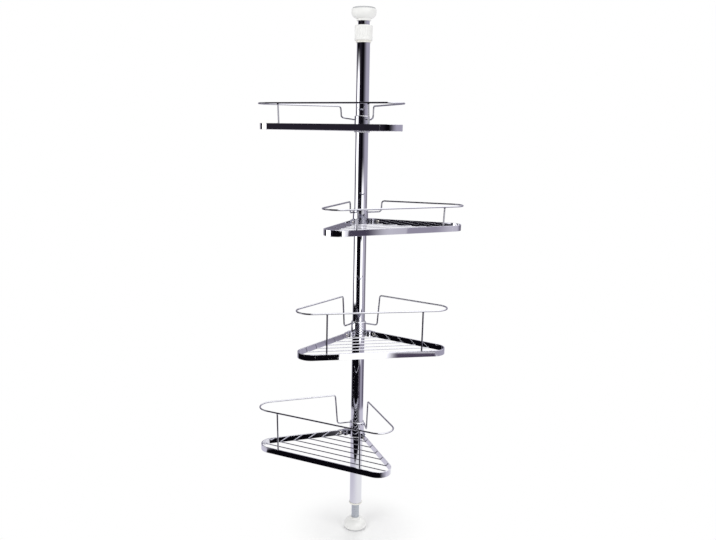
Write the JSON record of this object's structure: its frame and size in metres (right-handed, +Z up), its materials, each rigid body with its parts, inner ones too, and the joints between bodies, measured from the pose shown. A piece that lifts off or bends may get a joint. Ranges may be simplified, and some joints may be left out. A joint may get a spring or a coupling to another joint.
{
  "type": "tension pole shelf unit",
  "caption": "Chromed telescopic pole wedged between floor and ceiling, with three-cornered wire shelves that slide and swivel on split wedge collars.",
  "frame": {"origin": "middle of the foot pad's underside, on the pole's axis", "axes": "+Z up the pole's axis; -Y is the front, which the shelves face, each turned a little about +Z"},
  "size_m": [0.382, 0.2277, 1.0534],
  "materials": {
    "chrome_tube": "mirror-bright chrome plate on a welded steel tube",
    "chrome_strip": "bright chrome plate on rolled flat strip",
    "chrome_wire": "bright chrome plate on drawn wire",
    "chrome_casting": "chrome plate on a die-cast collar",
    "rivet_steel": "plated domed rivet head",
    "steel_zinc": "zinc-plated turned steel",
    "spring_steel": "oiled spring wire",
    "abs_white": "injection-moulded white ABS, fine satin",
    "nylon_white": "natural moulded nylon",
    "nylon_wedge": "pale grey moulded nylon",
    "rubber_grey": "moulded grey rubber, matte"
  },
  "bodies": {
    "pole": {"lower_tube": "chrome_tube", "upper_tube": "chrome_tube", "tube_joiner": "steel_zinc", "lock_ferrule": "nylon_white", "foot_bush": "nylon_white", "spring_seat": "nylon_white", "seat_pin": "steel_zinc", "tension_spring": "spring_steel"},
    "foot": {"foot_pad": "rubber_grey", "foot_cup": "abs_white", "foot_stem": "steel_zinc", "foot_retainer": "steel_zinc"},
    "telescope": {"inner_tube": "chrome_tube", "inner_guide_ring": "nylon_white", "ceiling_cup": "abs_white", "ceiling_pad": "rubber_grey"},
    "twist_nut": {"lock_nut": "abs_white"},
    "wedge_1": {"shelf_1_wedge_left": "nylon_wedge", "shelf_1_wedge_right": "nylon_wedge"},
    "shelf_1": {"shelf_1_strip": "chrome_strip", "shelf_1_floor_wires": "chrome_wire", "shelf_1_guard_rail": "chrome_wire", "shelf_1_rail_posts": "chrome_wire", "shelf_1_collar": "chrome_casting", "shelf_1_rivets": "rivet_steel"},
    "wedge_2": {"shelf_2_wedge_left": "nylon_wedge", "shelf_2_wedge_right": "nylon_wedge"},
    "shelf_2": {"shelf_2_strip": "chrome_strip", "shelf_2_floor_wires": "chrome_wire", "shelf_2_guard_rail": "chrome_wire", "shelf_2_rail_posts": "chrome_wire", "shelf_2_collar": "chrome_casting", "shelf_2_rivets": "rivet_steel"},
    "wedge_3": {"shelf_3_wedge_left": "nylon_wedge", "shelf_3_wedge_right": "nylon_wedge"},
    "shelf_3": {"shelf_3_strip": "chrome_strip", "shelf_3_floor_wires": "chrome_wire", "shelf_3_guard_rail": "chrome_wire", "shelf_3_rail_posts": "chrome_wire", "shelf_3_collar": "chrome_casting", "shelf_3_rivets": "rivet_steel"},
    "wedge_4": {"shelf_4_wedge_left": "nylon_wedge", "shelf_4_wedge_right": "nylon_wedge"},
    "shelf_4": {"shelf_4_strip": "chrome_strip", "shelf_4_floor_wires": "chrome_wire", "shelf_4_guard_rail": "chrome_wire", "shelf_4_rail_posts": "chrome_wire", "shelf_4_collar": "chrome_casting", "shelf_4_rivets": "rivet_steel"}
  },
  "joints": [
    {"name": "foot_press", "type": "slide", "parent": "pole", "child": "foot", "axis": [0, 0, 1], "range_m": [0, 0.03], "stiffness_N_per_m": 4000, "springref_m": -0.03, "deforming": ["tension_spring"]},
    {"name": "telescope_slide", "type": "slide", "parent": "pole", "child": "telescope", "axis": [0, 0, 1], "range_m": [0, 0.35]},
    {"name": "lock_twist", "type": "hinge", "parent": "pole", "child": "twist_nut", "pos_m": [0, 0, 1.008], "axis": [0, 0, 1], "range_deg": [0, 120]},
    {"name": "shelf_1_lift", "type": "slide", "parent": "pole", "child": "wedge_1", "axis": [0, 0, 1], "range_m": [-0.06, 0.11]},
    {"name": "shelf_1_swivel", "type": "hinge", "parent": "wedge_1", "child": "shelf_1", "pos_m": [0, 0, 0.837], "axis": [0, 0, 1], "continuous": true},
    {"name": "shelf_2_lift", "type": "slide", "parent": "pole", "child": "wedge_2", "axis": [0, 0, 1], "range_m": [-0.06, 0.06]},
    {"name": "shelf_2_swivel", "type": "hinge", "parent": "wedge_2", "child": "shelf_2", "pos_m": [0, 0, 0.658], "axis": [0, 0, 1], "continuous": true},
    {"name": "shelf_3_lift", "type": "slide", "parent": "pole", "child": "wedge_3", "axis": [0, 0, 1], "range_m": [-0.06, 0.06]},
    {"name": "shelf_3_swivel", "type": "hinge", "parent": "wedge_3", "child": "shelf_3", "pos_m": [0, 0, 0.432], "axis": [0, 0, 1], "continuous": true},
    {"name": "shelf_4_lift", "type": "slide", "parent": "pole", "child": "wedge_4", "axis": [0, 0, 1], "range_m": [-0.13, 0.06]},
    {"name": "shelf_4_swivel", "type": "hinge", "parent": "wedge_4", "child": "shelf_4", "pos_m": [0, 0, 0.219], "axis": [0, 0, 1], "continuous": true}
  ]
}
